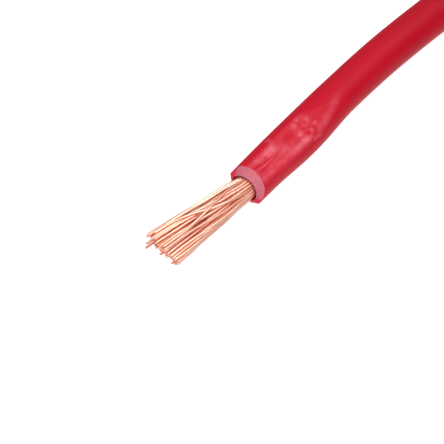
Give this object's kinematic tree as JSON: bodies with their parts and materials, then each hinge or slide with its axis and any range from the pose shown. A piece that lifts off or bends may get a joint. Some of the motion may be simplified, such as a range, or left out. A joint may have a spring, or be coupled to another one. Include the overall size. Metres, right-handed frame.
{
  "type": "wire spool",
  "caption": "Plastic reel of red PVC-insulated flexible copper wire, its free end stripped to a splayed bunch of fine bare strands.",
  "frame": {"origin": "centre of the lower flange's outer face, at the bottom of the spool", "axes": "+Z along the spool's axis and the arbor bore, upwards; the stripped end points to -Y"},
  "size_m": [0.1089, 0.1483, 0.057],
  "materials": {
    "flange_plastic": "fine moulded texture, satin",
    "barrel_plastic": "satin",
    "sleeve_plastic": "satin",
    "wound_wire": "semi-matt PVC",
    "pvc_insulation": "semi-matt PVC",
    "copper": "bright bare copper"
  },
  "bodies": {
    "root": {"flange_lower": "flange_plastic", "flange_upper": "flange_plastic", "barrel": "barrel_plastic", "arbor_sleeve": "sleeve_plastic", "wire_winding": "wound_wire", "wire_lead": "pvc_insulation", "insulation_end": "pvc_insulation", "conductor_core_strands": "copper", "conductor_inner_strands": "copper", "strand_01": "copper", "strand_02": "copper", "strand_03": "copper", "strand_04": "copper", "strand_05": "copper", "strand_06": "copper", "strand_07": "copper", "strand_08": "copper", "strand_09": "copper", "strand_10": "copper", "strand_11": "copper", "strand_12": "copper", "strand_13": "copper", "strand_14": "copper", "strand_15": "copper", "strand_16": "copper", "strand_17": "copper", "strand_18": "copper", "strand_19": "copper", "strand_20": "copper", "strand_21": "copper", "strand_22": "copper", "strand_23": "copper", "strand_24": "copper", "strand_25": "copper", "strand_26": "copper", "strand_27": "copper", "strand_28": "copper", "strand_29": "copper", "strand_30": "copper", "strand_31": "copper", "strand_32": "copper", "strand_33": "copper", "strand_34": "copper", "strand_35": "copper", "strand_36": "copper", "strand_37": "copper", "strand_38": "copper", "strand_39": "copper", "strand_40": "copper", "strand_41": "copper", "strand_42": "copper", "start_tail": "pvc_insulation", "tail_strands": "copper"}
  },
  "joints": []
}
